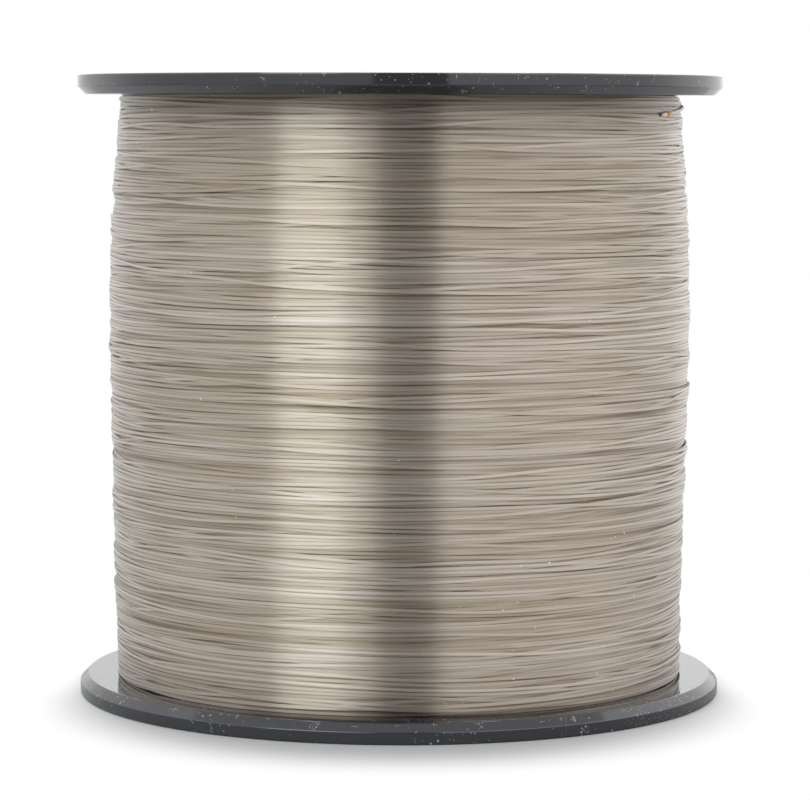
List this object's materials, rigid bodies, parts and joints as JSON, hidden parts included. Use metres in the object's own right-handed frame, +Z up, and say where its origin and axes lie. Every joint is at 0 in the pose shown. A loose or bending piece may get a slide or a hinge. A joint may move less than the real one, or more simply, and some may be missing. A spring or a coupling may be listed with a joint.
{
  "type": "fishing line spool",
  "caption": "Bulk spool of smoke-tinted monofilament fishing line: black flanges with bevelled rims that click into a barrel, and a round bore for a winder's spindle.",
  "frame": {"origin": "middle of the bottom flange's outer face, on the spindle axis, in the plane that the spool stands on", "axes": "+Z up the spindle axis from the bottom flange to the top one; the line's cut end is on the +X side, a little towards -Y; the drive holes of both flanges are 30, 150 and 270 degrees round from +X"},
  "size_m": [0.1, 0.1, 0.096],
  "materials": {
    "flange_plastic": "gloss, moulded black polystyrene with fine scratches and dust",
    "core_plastic": "satin, moulded dark grey polystyrene",
    "line": "translucent, smoke-tinted nylon monofilament"
  },
  "bodies": {
    "root": {"bottom_flange": "flange_plastic", "top_flange": "flange_plastic", "barrel": "core_plastic", "arbor_tube": "core_plastic", "line_pack": "line", "line_end": "line"}
  },
  "joints": []
}
